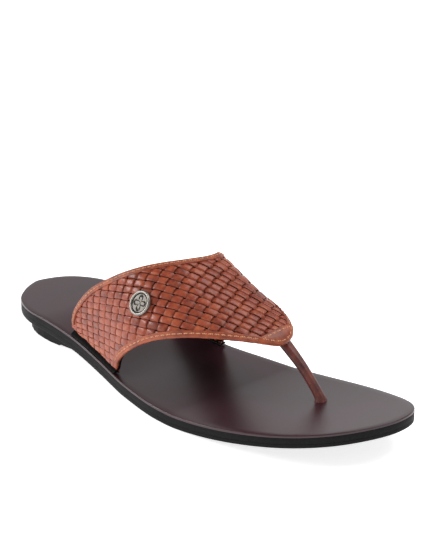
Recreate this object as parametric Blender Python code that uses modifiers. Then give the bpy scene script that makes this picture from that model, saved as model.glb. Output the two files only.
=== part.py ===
"""Men's leather toe-post sandal (flip flop), right foot, as a Blender 4.5 assembly.

Frame: +X from heel to toe, +Y to the inner (medial) side of the foot, +Z up, metres.
The origin is the bottom centre of the bounding box and the sandal stands on z = 0.
Stations along the foot are measured in millimetres from the back of the heel on a
sandal of the reference length, and grow with LENGTH.
"""

import math

import bmesh
import bpy
import numpy as np
from mathutils import Matrix, Vector

MM = 0.001

# ---------------------------------------------------------------- driving dimensions
LENGTH = 0.303            # heel to toe
BALL_WIDTH = 0.0963       # across the widest part of the forefoot
HEEL_WIDTH = 0.0712       # across the heel
HEEL_RAISE = 0.0072       # height of the heel lift
TOE_SPRING = 0.0165       # how far the toe curls off the ground
INSTEP = 0.070            # height of the vamp's crown over the footbed, at its back edge

GAP = 0.0003              # clearance kept between pieces that touch
OUTSOLE_T = 0.0035        # outsole at the heel
OUTSOLE_THIN = 0.0012     # how much thinner it is at the toe
MIDSOLE_T = 0.0033
COVER_T = 0.0012          # leather on top of the footbed
PAD_T = 0.0010            # foam pad let into the midsole
PAD_INSET = 0.018         # distance of the pad from the sole's edge

WOVEN_T = 0.0022          # two crossing layers of leather strip
LINING_T = 0.0012
BINDING_T = 0.0007        # folded leather edge of the vamp
BINDING_W = 0.0042        # how far the binding reaches in from the edge
VAMP_INSET = 0.0012       # outer face of the vamp, in from the sole's edge
TIP_INSET = 0.0042        # how much further in it comes towards the tip
BAND_BACK = 0.042         # share of the arch left bare of weaving, at the back edge
BAND_FRONT = 0.024        # the same at the front edge
TAB_FOOT = 0.012          # length of an anchor tab's foot under the midsole
TAB_T = 0.0012

PATCH_T = 0.0008
PATCH_BACK = 219.0        # station of the tip patch's rear stitches
PATCH_LAP = 2.0           # leather behind those stitches, in millimetres
PATCH_SHARES = (-0.232, 0.100)  # its two sides, as shares of the arch
PATCH_IN = 0.0003         # its front edge, in from the vamp's
THREAD_R = 0.00032
STITCH_IN = 0.0026        # stitch line, in from the vamp's edge

POST_R = 0.0027           # leather-covered toe post
CORD_R = 0.0015           # cord inside it
POST_X, POST_Y = 245.0, 0.125  # station, share of the ball width
POST_SHARE = -0.01        # where the post runs under the tip, as a share of the arch
POST_BACK = 4.5           # its end, behind the tip patch's rear stitches, in millimetres
POST_BOW = 0.0011         # how far it bows forward and up on its way down
WASHER_R = 0.0075
WASHER_T = 0.0012

BADGE_R = 0.0072
BADGE_T = 0.0020
BADGE_ROUND = 0.0005      # chamfer of its rim
FIELD_R = 0.0052          # sunk field inside the rim
FIELD_T = 0.0012
BADGE_AT = (152.6, -0.571)    # station, share of the arch
RIVET_R = 0.0015
RIVET_HEAD_R = 0.0024
RIVET_HEAD_T = 0.0006
BACK_WASHER_R = 0.0042
BACK_WASHER_T = 0.0007

LIFT_FRONT = 86.0         # station where the heel lift runs out
LIFT_BACK = 0.0100        # heel lift, in from the back of the sole
LIFT_SIDE = 0.0030        # heel lift, in from the sides of the sole
LIFT_ROLL = 58.0          # station where its underside leaves the ground
LIFT_STEP = 0.0008        # height of the steps across its underside
LIFT_STEPS = (68.0, 81.0)
LIFT_RISE = 0.000095      # rise of its underside for each millimetre past LIFT_ROLL

TOE_END = 303.0           # last station
HEEL_BREAST = 50.0        # station where the sole starts down from the heel
BALL_BACK = 150.0         # stations between which it lies flat on the ground
BALL_FRONT = 195.0
THIN_FROM, THIN_TO = 60.0, 280.0  # stations between which the outsole thins out

SCALE = LENGTH / (TOE_END * MM)
BOTTOM_STEP = 10.0        # spacing of the cross cuts that let a layer bend
ROWS = 50                 # facets of the vamp's pieces from one foot to the other

# ---------------------------------------------------------------- the last
# Outline knots: station, and share of the width there (+ medial, - lateral).
OUTLINE = (
    (0.0, 0.04), (4.6, 0.235), (14.0, 0.375), (30.0, 0.475), (58.0, 0.500), (88.0, 0.475),
    (118.0, 0.395), (150.0, 0.345), (182.0, 0.395), (214.0, 0.440), (243.0, 0.450),
    (268.0, 0.420), (288.5, 0.355), (300.0, 0.245), (303.0, 0.085), (297.5, -0.085),
    (285.0, -0.255), (265.0, -0.390), (239.0, -0.480), (211.0, -0.530), (182.0, -0.545),
    (152.0, -0.500), (122.0, -0.490), (92.0, -0.520), (62.0, -0.495), (38.0, -0.470),
    (20.0, -0.375), (8.5, -0.225), (1.6, -0.070),
)


def blend(t):
    t = min(1.0, max(0.0, t))
    return t * t * (3.0 - 2.0 * t)


def hermite(knots, x):
    """Smooth curve through (x, y) knots, with the slopes of their neighbours."""
    xs, ys = [k[0] for k in knots], [k[1] for k in knots]
    n = len(xs)
    if x <= xs[0]:
        return ys[0] + (x - xs[0]) * (ys[1] - ys[0]) / (xs[1] - xs[0])
    if x >= xs[-1]:
        return ys[-1] + (x - xs[-1]) * (ys[-1] - ys[-2]) / (xs[-1] - xs[-2])
    i = max(j for j in range(n - 1) if xs[j] <= x)

    def slope(j):
        a, b = max(j - 1, 0), min(j + 1, n - 1)
        return (ys[b] - ys[a]) / (xs[b] - xs[a])

    h = xs[i + 1] - xs[i]
    t = (x - xs[i]) / h
    return ((2 * t**3 - 3 * t**2 + 1) * ys[i] + (t**3 - 2 * t**2 + t) * h * slope(i)
            + (3 * t**2 - 2 * t**3) * ys[i + 1] + (t**3 - t**2) * h * slope(i + 1))


def width_at(station):
    """The width that a share of the outline is taken of."""
    return HEEL_WIDTH + (BALL_WIDTH - HEEL_WIDTH) * blend((station - 90.0) / 60.0)


def outline(count):
    """The sole's closed outline, clockwise from above, as (x, y) in metres."""
    knots = [(s * MM * SCALE, f * width_at(s)) for s, f in OUTLINE]
    n, loop = len(knots), []
    for i in range(n):
        p = [np.array(knots[(i + k - 1) % n]) for k in range(4)]
        for t in np.linspace(0.0, 1.0, 24, endpoint=False):
            loop.append(0.5 * (2 * p[1] + (p[2] - p[0]) * t
                               + (2 * p[0] - 5 * p[1] + 4 * p[2] - p[3]) * t**2
                               + (3 * p[1] - p[0] - 3 * p[2] + p[3]) * t**3))
    loop = np.array(loop + loop[:1])
    run = np.concatenate([[0.0], np.cumsum(np.linalg.norm(np.diff(loop, axis=0), axis=1))])
    at = np.linspace(0.0, run[-1], count, endpoint=False)
    return np.stack([np.interp(at, run, loop[:, k]) for k in (0, 1)], axis=1)


EDGE = outline(1440)
Y_MID = 0.5 * (EDGE[:, 1].max() + EDGE[:, 1].min())
X_MID = 0.5 * (EDGE[:, 0].max() + EDGE[:, 0].min())


def side_of(y_sign):
    pts = EDGE[(EDGE[:, 1] - 0.02 * BALL_WIDTH) * y_sign > 0]
    order = np.argsort(pts[:, 0])
    return pts[order]


SIDES = {1: side_of(1), -1: side_of(-1)}


def edge_y(station, side):
    pts = SIDES[side]
    return float(np.interp(station * MM * SCALE, pts[:, 0], pts[:, 1]))


def inset_outline(count, inset):
    """The outline moved inwards by inset."""
    pts = outline(count)
    run = np.roll(pts, -1, axis=0) - np.roll(pts, 1, axis=0)
    run /= np.linalg.norm(run, axis=1)[:, None]
    return pts + np.stack([run[:, 1], -run[:, 0]], axis=1) * inset


def underside(station):
    """Height of the outsole's underside over the ground."""
    heel = HEEL_RAISE * (1.0 - blend((station - HEEL_BREAST) / (BALL_BACK - HEEL_BREAST)))
    toe = TOE_SPRING * (max(0.0, station - BALL_FRONT) / (TOE_END - BALL_FRONT)) ** 1.45
    return heel + toe


STATIONS = list(np.arange(-BOTTOM_STEP, TOE_END + 2 * BOTTOM_STEP, BOTTOM_STEP))
UNDERS = [underside(s) for s in STATIONS]
LIFTS = [z - OUTSOLE_THIN * blend((s - THIN_FROM) / (THIN_TO - THIN_FROM))
         for s, z in zip(STATIONS, UNDERS)]


def lift(station):
    """What the layers over the outsole are raised by, straight between cross cuts."""
    return float(np.interp(station, STATIONS, LIFTS))


def under(station):
    return float(np.interp(station, STATIONS, UNDERS))


Z_MID = OUTSOLE_T + GAP
Z_PAD = Z_MID + MIDSOLE_T
Z_COVER = Z_PAD + GAP
Z_TOP = Z_COVER + COVER_T


# ---------------------------------------------------------------- the vamp's surface
CROWN = ((70, 1.155), (110, 1.14), (154, 1.0), (185, 0.782), (205, 0.643), (215, 0.570),
         (221, 0.508), (227, 0.420), (233, 0.325))
CROWN_Y = ((70, 0.021), (150, 0.062), (225, 0.125))
FULL_OUT = ((80, 2.3), (150, 2.2), (225, 2.0))
FULL_IN = ((80, 2.5), (150, 2.4), (225, 2.2))
# Edges of the vamp: share of the arch (-1 lateral, 0 crown, 1 medial) and station.
BACK_EDGE = ((-1.0, 84), (-0.93, 85), (-0.88, 88), (-0.75, 101), (-0.60, 119), (-0.41, 138.5),
             (-0.21, 154.3), (-0.06, 160.6), (0.05, 161.3), (0.20, 158), (0.45, 148.5),
             (0.70, 132), (0.88, 112), (1.0, 97))
FRONT_EDGE = ((-1.0, 137), (-0.93, 141), (-0.79, 158), (-0.62, 178), (-0.45, 197),
              (-0.30, 213.5), (-0.20, 221.4), (-0.10, 225.0), (0.0, 223.4), (0.10, 218.7),
              (0.22, 210.5), (0.37, 197.0), (0.53, 181), (0.70, 166.5), (0.85, 154.5),
              (1.0, 147))


def surface(station, a):
    """Point of the vamp's outer surface. a runs from -1 (lateral) to 1 (medial)."""
    inset = VAMP_INSET + TIP_INSET * blend((station - 145.0) / 50.0)
    foot = (edge_y(station, -1) + inset, edge_y(station, 1) - inset)
    crown_y = hermite(CROWN_Y, station) * BALL_WIDTH
    base = lift(station) + Z_TOP + GAP
    height = hermite(CROWN, station) * INSTEP
    n = hermite(FULL_OUT if a < 0 else FULL_IN, station)
    half = crown_y - foot[0] if a < 0 else foot[1] - crown_y
    turn = a * math.pi / 2
    return Vector((station * MM * SCALE,
                   crown_y + math.copysign(half * abs(math.sin(turn)) ** (2 / n), a),
                   base + height * max(0.0, math.cos(turn)) ** (2 / n)))


def frame(station, a):
    """Point, derivatives by station and by share, and outward normal."""
    a0, a1 = max(-1.0, a - 0.01), min(1.0, a + 0.01)
    by_s = (surface(station + 0.5, a) - surface(station - 0.5, a)) / 1.0
    by_a = (surface(station, a1) - surface(station, a0)) / (a1 - a0)
    return surface(station, a), by_s, by_a, by_s.cross(by_a).normalized()


def lifted(station, a, height):
    point, _s, _a, normal = frame(station, a)
    return point + normal * height


def edge_at(knots, a, inset):
    """Station and share of the point that lies inset in from an edge, in the surface."""
    station = hermite(knots, a)
    _p, by_s, by_a, _n = frame(station, a)
    slope = (hermite(knots, a + 0.004) - hermite(knots, a - 0.004)) / 0.008
    run = (by_a + by_s * slope).normalized()
    sign = 1.0 if knots is BACK_EDGE else -1.0
    into = by_s - run * by_s.dot(run)
    into = into.normalized() * sign * inset
    ss, sa, aa = by_s.dot(by_s), by_s.dot(by_a), by_a.dot(by_a)
    bs, ba = into.dot(by_s), into.dot(by_a)
    det = ss * aa - sa * sa
    return (station + (bs * aa - ba * sa) / det,
            min(1.0, max(-1.0, a + (ba * ss - bs * sa) / det)))


# ---------------------------------------------------------------- scene and helpers
for old in list(bpy.data.objects):
    bpy.data.objects.remove(old, do_unlink=True)

SANDAL = bpy.data.collections.new("toe_post_sandal")
CUTTERS = bpy.data.collections.new("cutters")
for group in (SANDAL, CUTTERS):
    bpy.context.scene.collection.children.link(group)


def material(name, rgb, roughness, metallic=0.0):
    mat = bpy.data.materials.new(name)
    mat.use_nodes = True
    shader = mat.node_tree.nodes["Principled BSDF"]
    shader.inputs["Base Color"].default_value = (*rgb, 1.0)
    shader.inputs["Roughness"].default_value = roughness
    shader.inputs["Metallic"].default_value = metallic
    return mat


MATERIALS = {
    "rubber": material("black_rubber", (0.016, 0.016, 0.016), 0.62),
    "foam": material("midsole_foam", (0.022, 0.021, 0.021), 0.75),
    "pad": material("pad_foam", (0.42, 0.36, 0.28), 0.90),
    "footbed": material("dark_brown_leather", (0.060, 0.045, 0.043), 0.38),
    "woven": material("cognac_woven_leather", (0.33, 0.105, 0.052), 0.45),
    "edge": material("tan_edge_leather", (0.42, 0.16, 0.075), 0.50),
    "lining": material("black_lining", (0.012, 0.011, 0.011), 0.80),
    "post": material("brown_post_leather", (0.15, 0.045, 0.028), 0.42),
    "cord": material("cotton_cord", (0.48, 0.42, 0.33), 0.90),
    "webbing": material("black_webbing", (0.014, 0.014, 0.014), 0.85),
    "thread": material("tan_thread", (0.62, 0.33, 0.16), 0.65),
    "badge": material("antique_silver", (0.60, 0.57, 0.54), 0.32, 1.0),
    "steel": material("plated_steel", (0.50, 0.50, 0.50), 0.35, 1.0),
}


def add(name, mesh, look, home=SANDAL):
    obj = bpy.data.objects.new(name, mesh)
    home.objects.link(obj)
    if look:
        mesh.materials.append(MATERIALS[look])
    else:
        obj.hide_render = True
        obj.display_type = "WIRE"
    return obj


def finish(bm, name):
    bmesh.ops.recalc_face_normals(bm, faces=bm.faces)
    mesh = bpy.data.meshes.new(name)
    bm.to_mesh(mesh)
    bm.free()
    return mesh


def seat(obj):
    """Moves a piece modelled from the back of the heel to the assembly's frame."""
    obj.data.transform(Matrix.Translation((-X_MID, -Y_MID, 0.0)))
    obj.data.shade_smooth()
    obj.data.set_sharp_from_angle(angle=math.radians(35))
    return obj


def prism(points, z0, z1, name, look=None, home=CUTTERS):
    """Upright prism on a flat outline, made as a filled 2D curve."""
    curve = bpy.data.curves.new(name, "CURVE")
    curve.dimensions = "2D"
    curve.fill_mode = "BOTH"
    curve.extrude = (z1 - z0) / 2
    spline = curve.splines.new("POLY")
    spline.points.add(len(points) - 1)
    for k, (x, y) in enumerate(points):
        spline.points[k].co = (x, y, 0.0, 1.0)
    spline.use_cyclic_u = True
    guide = bpy.data.objects.new(name + "_curve", curve)
    home.objects.link(guide)
    bpy.context.view_layer.update()
    mesh = bpy.data.meshes.new_from_object(
        guide.evaluated_get(bpy.context.evaluated_depsgraph_get()))
    bpy.data.objects.remove(guide, do_unlink=True)
    mesh.materials.clear()
    bm = bmesh.new()
    bm.from_mesh(mesh)
    bmesh.ops.remove_doubles(bm, verts=bm.verts, dist=1e-6)
    bmesh.ops.dissolve_limit(bm, angle_limit=0.001, verts=bm.verts, edges=bm.edges)
    bmesh.ops.translate(bm, verts=bm.verts, vec=(0.0, 0.0, (z0 + z1) / 2))
    return add(name, finish(bm, name), look, home)


def cut(obj, cutters):
    """Takes the cutters out of obj and keeps the result as its mesh."""
    for tool in cutters:
        mod = obj.modifiers.new(tool.name, "BOOLEAN")
        mod.operation = "DIFFERENCE"
        mod.solver = "EXACT"
        mod.object = tool
    bpy.context.view_layer.update()
    mesh = bpy.data.meshes.new_from_object(
        obj.evaluated_get(bpy.context.evaluated_depsgraph_get()))
    obj.modifiers.clear()
    obj.data = mesh


def slice_across(obj):
    """Cross cuts at the bend stations."""
    bm = bmesh.new()
    bm.from_mesh(obj.data)
    bmesh.ops.triangulate(bm, faces=bm.faces)
    for station in STATIONS:
        bmesh.ops.bisect_plane(
            bm, geom=bm.verts[:] + bm.edges[:] + bm.faces[:], dist=1e-7,
            plane_co=(station * MM * SCALE, 0.0, 0.0), plane_no=(1.0, 0.0, 0.0))
    bm.to_mesh(obj.data)
    bm.free()


def bend(obj):
    """Bends a flat layer to the sole's side profile, and joins what stays in one plane."""
    bm = bmesh.new()
    bm.from_mesh(obj.data)
    for vert in bm.verts:
        rise = under if vert.co.z < 1e-6 else lift
        vert.co.z += rise(vert.co.x / (MM * SCALE))
    bmesh.ops.dissolve_limit(bm, angle_limit=0.0005, verts=bm.verts, edges=bm.edges)
    bm.to_mesh(obj.data)
    bm.free()


def loft(rings, name, look):
    """Skin over closed rings of equal count, capped at both ends."""
    bm = bmesh.new()
    rows = [[bm.verts.new(p) for p in ring] for ring in rings]
    n = len(rows[0])
    for one, two in zip(rows, rows[1:]):
        for k in range(n):
            bm.faces.new((one[k], one[(k + 1) % n], two[(k + 1) % n], two[k]))
    bm.faces.new(rows[0][::-1])
    bm.faces.new(rows[-1])
    return seat(add(name, finish(bm, name), look))


def thread(points, name):
    """Sewing thread along points, a round wire with filled ends."""
    curve = bpy.data.curves.new(name, "CURVE")
    curve.dimensions = "3D"
    curve.bevel_depth = THREAD_R
    curve.bevel_resolution = 1
    curve.use_fill_caps = True
    spline = curve.splines.new("POLY")
    spline.points.add(len(points) - 1)
    for k, p in enumerate(points):
        spline.points[k].co = (p[0] - X_MID, p[1] - Y_MID, p[2], 1.0)
    obj = bpy.data.objects.new(name, curve)
    SANDAL.objects.link(obj)
    curve.materials.append(MATERIALS["thread"])
    return obj


def tube(path, r_out, r_in, name, look, sides=16):
    """Hollow round tube along a path, open at both ends."""
    bm = bmesh.new()
    rings = []
    for i, p in enumerate(path):
        run = (path[min(i + 1, len(path) - 1)] - path[max(i - 1, 0)]).normalized()
        across = run.cross(Vector((0.0, 1.0, 0.0))).normalized()
        up = across.cross(run)
        rings.append([[bm.verts.new(p + (across * math.cos(t) + up * math.sin(t)) * r)
                       for t in (2 * math.pi * k / sides for k in range(sides))]
                      for r in (r_out, r_in)])
    for k in range(sides):
        m = (k + 1) % sides
        for one, two in zip(rings, rings[1:]):
            bm.faces.new((one[0][k], one[0][m], two[0][m], two[0][k]))
            bm.faces.new((one[1][m], one[1][k], two[1][k], two[1][m]))
        bm.faces.new((rings[0][0][m], rings[0][0][k], rings[0][1][k], rings[0][1][m]))
        bm.faces.new((rings[-1][0][k], rings[-1][0][m], rings[-1][1][m], rings[-1][1][k]))
    return seat(add(name, finish(bm, name), look))


def turned(profile, place, name, look, steps=40):
    """Body of revolution: (radius, height) profile with a Screw modifier."""
    bm = bmesh.new()
    verts = [bm.verts.new((r, 0.0, z)) for r, z in profile]
    for one, two in zip(verts, verts[1:]):
        bm.edges.new((one, two))
    if profile[0][0] > 0:
        bm.edges.new((verts[-1], verts[0]))
    mesh = bpy.data.meshes.new(name)
    bm.to_mesh(mesh)
    bm.free()
    obj = add(name, mesh, look)
    obj.matrix_world = Matrix.Translation((-X_MID, -Y_MID, 0.0)) @ place
    mod = obj.modifiers.new("turn", "SCREW")
    mod.steps = mod.render_steps = steps
    mod.use_merge_vertices = True
    mod.merge_threshold = 1e-6
    mod.use_smooth_shade = True
    return obj


# ---------------------------------------------------------------- the sole
def strip_between(side, s0, s1, in0, in1, count=14):
    """Flat band along one edge of the sole, from inset in0 to in1."""
    run = np.linspace(s0, s1, count)
    near = [(s * MM * SCALE, edge_y(s, side) - side * in0) for s in run]
    far = [(s * MM * SCALE, edge_y(s, side) - side * in1) for s in run]
    return near + far[::-1]


def disc(station, y, radius, count=20):
    return [(station * MM * SCALE + radius * math.cos(t), y + radius * math.sin(t))
            for t in (2 * math.pi * k / count for k in range(count))]


POST_Y_M = POST_Y * BALL_WIDTH
LINING_OUT = VAMP_INSET + WOVEN_T + GAP
LINING_IN = LINING_OUT + LINING_T
CLEAR_MM = 0.6                      # end clearance of a tab in its slot, per end
SLOT = {side: (hermite(BACK_EDGE, side) - CLEAR_MM, hermite(FRONT_EDGE, side) + CLEAR_MM)
        for side in (-1, 1)}


def openings(name, z0, z1):
    """Cutters of the two strap slots and the toe post's hole."""
    tools = [prism(strip_between(side, *SLOT[side], LINING_OUT - GAP, LINING_IN + GAP),
                   z0, z1, f"{name}_slot_{label}")
             for side, label in ((-1, "lateral"), (1, "medial"))]
    tools.append(prism(disc(POST_X, POST_Y_M, POST_R + 2 * GAP), z0, z1, f"{name}_post"))
    return tools


def layer(name, inset, z0, z1, look, tools=()):
    obj = prism(inset_outline(84, inset), z0, z1, name, look, SANDAL)
    if tools:
        cut(obj, tools)
    slice_across(obj)
    bend(obj)
    return seat(obj)


outsole = layer("outsole", 0.0, 0.0, OUTSOLE_T, "rubber")

tab_room = TAB_T + GAP
midsole_tools = openings("midsole", Z_MID - 0.001, Z_PAD + 0.001)
for side, label in ((-1, "lateral"), (1, "medial")):
    midsole_tools.append(prism(
        strip_between(side, *SLOT[side], LINING_OUT - GAP, LINING_OUT + TAB_FOOT + GAP),
        Z_MID - 0.001, Z_MID + tab_room, f"midsole_pocket_{label}"))
midsole_tools.append(prism(disc(POST_X, POST_Y_M, WASHER_R + GAP, 28),
                           Z_MID - 0.001, Z_MID + WASHER_T + GAP, "midsole_pocket_post"))
midsole_tools.append(prism(inset_outline(84, PAD_INSET - GAP),
                           Z_PAD - PAD_T - GAP, Z_PAD + 0.001, "midsole_pad_recess"))
midsole = layer("midsole", 0.0, Z_MID, Z_PAD, "foam", midsole_tools)

pad = layer("footbed_pad", PAD_INSET, Z_PAD - PAD_T, Z_PAD, "pad",
            openings("pad", Z_PAD - 0.004, Z_PAD + 0.001)[2:])
cover = layer("footbed_cover", 0.0, Z_COVER, Z_TOP, "footbed",
              openings("cover", Z_COVER - 0.001, Z_TOP + 0.001))

def heel_lift():
    """Wedge under the heel: a side profile, kept inside the outline further in."""
    fit = inset_outline(84, LIFT_SIDE)
    back = LIFT_BACK - LIFT_SIDE
    long = LIFT_FRONT * MM * SCALE
    fit[:, 0] += back * np.clip(1.0 - fit[:, 0] / long, 0.0, 1.0)
    obj = prism(fit, -0.001, 0.02, "heel_lift", "rubber", SANDAL)

    def roll(station):
        return LIFT_RISE * max(0.0, station - LIFT_ROLL)

    top = [s for s in STATIONS if 0 <= s < LIFT_FRONT] + [LIFT_FRONT]
    profile = [(s, under(s) - GAP) for s in top]
    ends, drop = (LIFT_FRONT, *LIFT_STEPS[::-1]), LIFT_STEP * len(LIFT_STEPS)
    for s, after in zip(ends, (*LIFT_STEPS[::-1], LIFT_ROLL)):
        profile += [(s, roll(s) + drop), (after, roll(after) + drop)]
        drop -= LIFT_STEP
    profile += [(0.0, 0.0)]
    side = prism([(s * MM * SCALE, z) for s, z in profile], -HEEL_WIDTH, HEEL_WIDTH,
                 "heel_lift_profile")
    side.data.transform(Matrix.Rotation(math.radians(90), 4, "X"))
    mod = obj.modifiers.new("profile", "BOOLEAN")
    mod.operation = "INTERSECT"
    mod.solver = "EXACT"
    mod.object = side
    cut(obj, ())
    return seat(obj)


heel_lift()


# ---------------------------------------------------------------- anchor tabs
def tab(side, label):
    """Webbing that continues the lining through its slot and turns in underneath."""
    s0, s1 = SLOT[side][0] + CLEAR_MM, SLOT[side][1] - CLEAR_MM
    rings = []
    for s in np.linspace(s0, s1, 12):
        x, edge, z = s * MM * SCALE, edge_y(s, side), lift(s)
        toe = LINING_OUT + TAB_FOOT
        profile = ((LINING_OUT, Z_MID), (toe, Z_MID), (toe, Z_MID + TAB_T),
                   (LINING_OUT + TAB_T, Z_MID + TAB_T), (LINING_OUT + TAB_T, Z_TOP),
                   (LINING_OUT, Z_TOP))
        rings.append([(x, edge - side * d, z + h) for d, h in profile])
    return loft(rings, f"anchor_tab_{label}", "webbing")


tab(-1, "lateral")
tab(1, "medial")


# ---------------------------------------------------------------- vamp sheets
def shares(woven, band):
    """Shares of the arch, closer together at its crown, the same for every piece.

    Only the lining goes on past the weaving's bare band, down to the footbed.
    """
    t = np.linspace(-1.0, 1.0, ROWS)
    even = (1.0 - band) * (0.72 * t + 0.28 * t**3)
    foot = [] if woven else [1.0 - band / 2, 1.0]
    return [-f for f in foot[::-1]] + list(even) + foot


def plate(top, low, name):
    """Closed plate between two grids of points of the same size."""
    rows, cols = len(top), len(top[0])
    bm = bmesh.new()
    grids = [[[bm.verts.new(p) for p in row] for row in g] for g in (top, low)]
    for g in grids:
        for i in range(rows - 1):
            for j in range(cols - 1):
                bm.faces.new((g[i][j], g[i + 1][j], g[i + 1][j + 1], g[i][j + 1]))
    rim = ([(i, 0) for i in range(rows)] + [(rows - 1, j) for j in range(1, cols)]
           + [(i, cols - 1) for i in range(rows - 2, -1, -1)]
           + [(0, j) for j in range(cols - 2, 0, -1)])
    for (i, j), (k, m) in zip(rim, rim[1:] + rim[:1]):
        bm.faces.new((grids[0][i][j], grids[0][k][m], grids[1][k][m], grids[1][i][j]))
    return finish(bm, name)


def sheet(name, look, outer, thickness, inset, woven, cols, holes=()):
    """Sheet of leather between the vamp's two edges: a grid bent to the surface, closed."""
    top, low = [], []
    for back, front in zip(shares(woven, BAND_BACK), shares(woven, BAND_FRONT)):
        s0, a0 = edge_at(BACK_EDGE, back, inset)
        s1, a1 = edge_at(FRONT_EDGE, front, inset)
        row = [(s0 + (s1 - s0) * t, a0 + (a1 - a0) * t) for t in np.linspace(0, 1, cols)]
        top.append([lifted(s, b, outer) for s, b in row])
        low.append([lifted(s, b, outer - thickness) for s, b in row])
    obj = add(name, plate(top, low, name), look)
    if holes:
        cut(obj, holes)
    return seat(obj)


def badge_place():
    point, by_s, _a, up = frame(*BADGE_AT)
    along = (by_s - up * by_s.dot(up)).normalized()
    turn = Matrix((along, up.cross(along), up)).transposed().to_4x4()
    return Matrix.Translation(point) @ turn


PLACE = badge_place()
bm = bmesh.new()
bmesh.ops.create_cone(bm, cap_ends=True, segments=20, radius1=RIVET_R + GAP,
                      radius2=RIVET_R + GAP, depth=0.03, matrix=PLACE)
rivet_hole = add("rivet_hole", finish(bm, "rivet_hole"), None, CUTTERS)

EDGE_IN = BINDING_T + GAP
LINING_TOP = -(WOVEN_T + GAP)
LINING_BOTTOM = LINING_TOP - LINING_T
sheet("vamp_woven_panel", "woven", 0.0, WOVEN_T, EDGE_IN, True, 13, [rivet_hole])
sheet("vamp_lining", "lining", LINING_TOP, LINING_T, EDGE_IN, False, 13, [rivet_hole])


def binding(knots, band, name):
    """Leather folded round an edge of the vamp, a U section swept along it."""
    t, w = BINDING_T, BINDING_W
    over, below = GAP, LINING_BOTTOM - GAP
    profile = ((0.0, below - t / 2), (0.0, over + t / 2), (t / 2, over + t),
               (w, over + t), (w, over), (t, over), (t, below), (w, below),
               (w, below - t), (t / 2, below - t))
    rings = []
    for a in shares(True, band):
        ring = []
        for depth, height in profile:
            s, b = edge_at(knots, a, depth)
            ring.append(lifted(s, b, height))
        rings.append(ring)
    return loft(rings, name, "edge")


binding(BACK_EDGE, BAND_BACK, "back_edge_binding")
binding(FRONT_EDGE, BAND_FRONT, "front_edge_binding")

# ---------------------------------------------------------------- tip patch
PATCH_Z = 2 * GAP + BINDING_T


def tip_patch(rows=20, cols=6):
    top, low = [], []
    for a in np.linspace(*PATCH_SHARES, rows):
        s1, a1 = edge_at(FRONT_EDGE, a, PATCH_IN)
        s0 = PATCH_BACK - PATCH_LAP
        row = [(s0 + (s1 - s0) * t, a + (a1 - a) * t) for t in np.linspace(0, 1, cols)]
        top.append([lifted(s, b, PATCH_Z + PATCH_T) for s, b in row])
        low.append([lifted(s, b, PATCH_Z) for s, b in row])
    return seat(add("tip_patch", plate(top, low, "tip_patch"), "edge"))


tip_patch()

# ---------------------------------------------------------------- sewing
SEAM_Z = GAP + BINDING_T + GAP + THREAD_R
SEAM_END = 1.0 - BAND_BACK - 0.006


def seam(knots, lo, hi, count, height=SEAM_Z):
    return [lifted(*edge_at(knots, a, STITCH_IN), height)
            for a in np.linspace(lo, hi, count)]


thread(seam(BACK_EDGE, -SEAM_END, SEAM_END, 54), "back_edge_seam")
thread(seam(FRONT_EDGE, -SEAM_END, PATCH_SHARES[0] - 0.03, 30), "front_edge_seam_lateral")
thread(seam(FRONT_EDGE, PATCH_SHARES[1] + 0.05, SEAM_END, 30), "front_edge_seam_medial")
PATCH_SEAM_Z = PATCH_Z + PATCH_T + GAP + THREAD_R
round_tip = seam(FRONT_EDGE, PATCH_SHARES[0] + 0.03, PATCH_SHARES[1] - 0.03, 26,
                 PATCH_SEAM_Z)
across = [lifted(PATCH_BACK, a, PATCH_SEAM_Z)
          for a in np.linspace(PATCH_SHARES[1] - 0.05, PATCH_SHARES[0] + 0.045, 14)]
thread(round_tip + across, "tip_patch_seam")

# ---------------------------------------------------------------- toe post
foot_x = POST_X * MM * SCALE
foot_z = lift(POST_X) + Z_TOP
under_vamp = GAP + POST_R + BINDING_T + GAP - LINING_BOTTOM


def post_path():
    """Under the tip, forward, then down through the footbed, as one smooth curve."""
    start = lifted(PATCH_BACK - POST_BACK, POST_SHARE, -under_vamp)
    bend_1 = lifted(PATCH_BACK - 0.5, POST_SHARE, -under_vamp)
    foot = Vector((foot_x, POST_Y_M, foot_z + 0.0015))
    mid = bend_1.lerp(foot, 0.5) + Vector((POST_BOW, 0.0, POST_BOW))
    end = Vector((foot_x, POST_Y_M, lift(POST_X) + Z_MID + WASHER_T + 3 * GAP))
    knots = [start, bend_1, mid, foot.lerp(mid, 0.16), foot.lerp(end, 0.4), end]
    pts = [knots[0]] + knots + [knots[-1]]
    path = []
    for i in range(1, len(pts) - 2):
        p = pts[i - 1:i + 3]
        for t in np.linspace(0, 1, 6, endpoint=False):
            path.append(0.5 * (2 * p[1] + (p[2] - p[0]) * t
                               + (2 * p[0] - 5 * p[1] + 4 * p[2] - p[3]) * t**2
                               + (3 * p[1] - p[0] - 3 * p[2] + p[3]) * t**3))
    return path + [knots[-1]]


PATH = post_path()
tube(PATH, POST_R, CORD_R + GAP, "toe_post_cover", "post")


def cord_rings(sides=12):
    end = Vector((foot_x, POST_Y_M, lift(POST_X) + Z_MID))
    path = PATH + [end]
    rings = []
    for i, p in enumerate(path):
        run = (path[min(i + 1, len(path) - 1)] - path[max(i - 1, 0)]).normalized()
        side = run.cross(Vector((0.0, 1.0, 0.0))).normalized()
        up = side.cross(run)
        rings.append([p + (side * math.cos(t) + up * math.sin(t)) * CORD_R
                      for t in (2 * math.pi * k / sides for k in range(sides))])
    return rings


loft(cord_rings(), "toe_post_cord", "cord")

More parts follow.
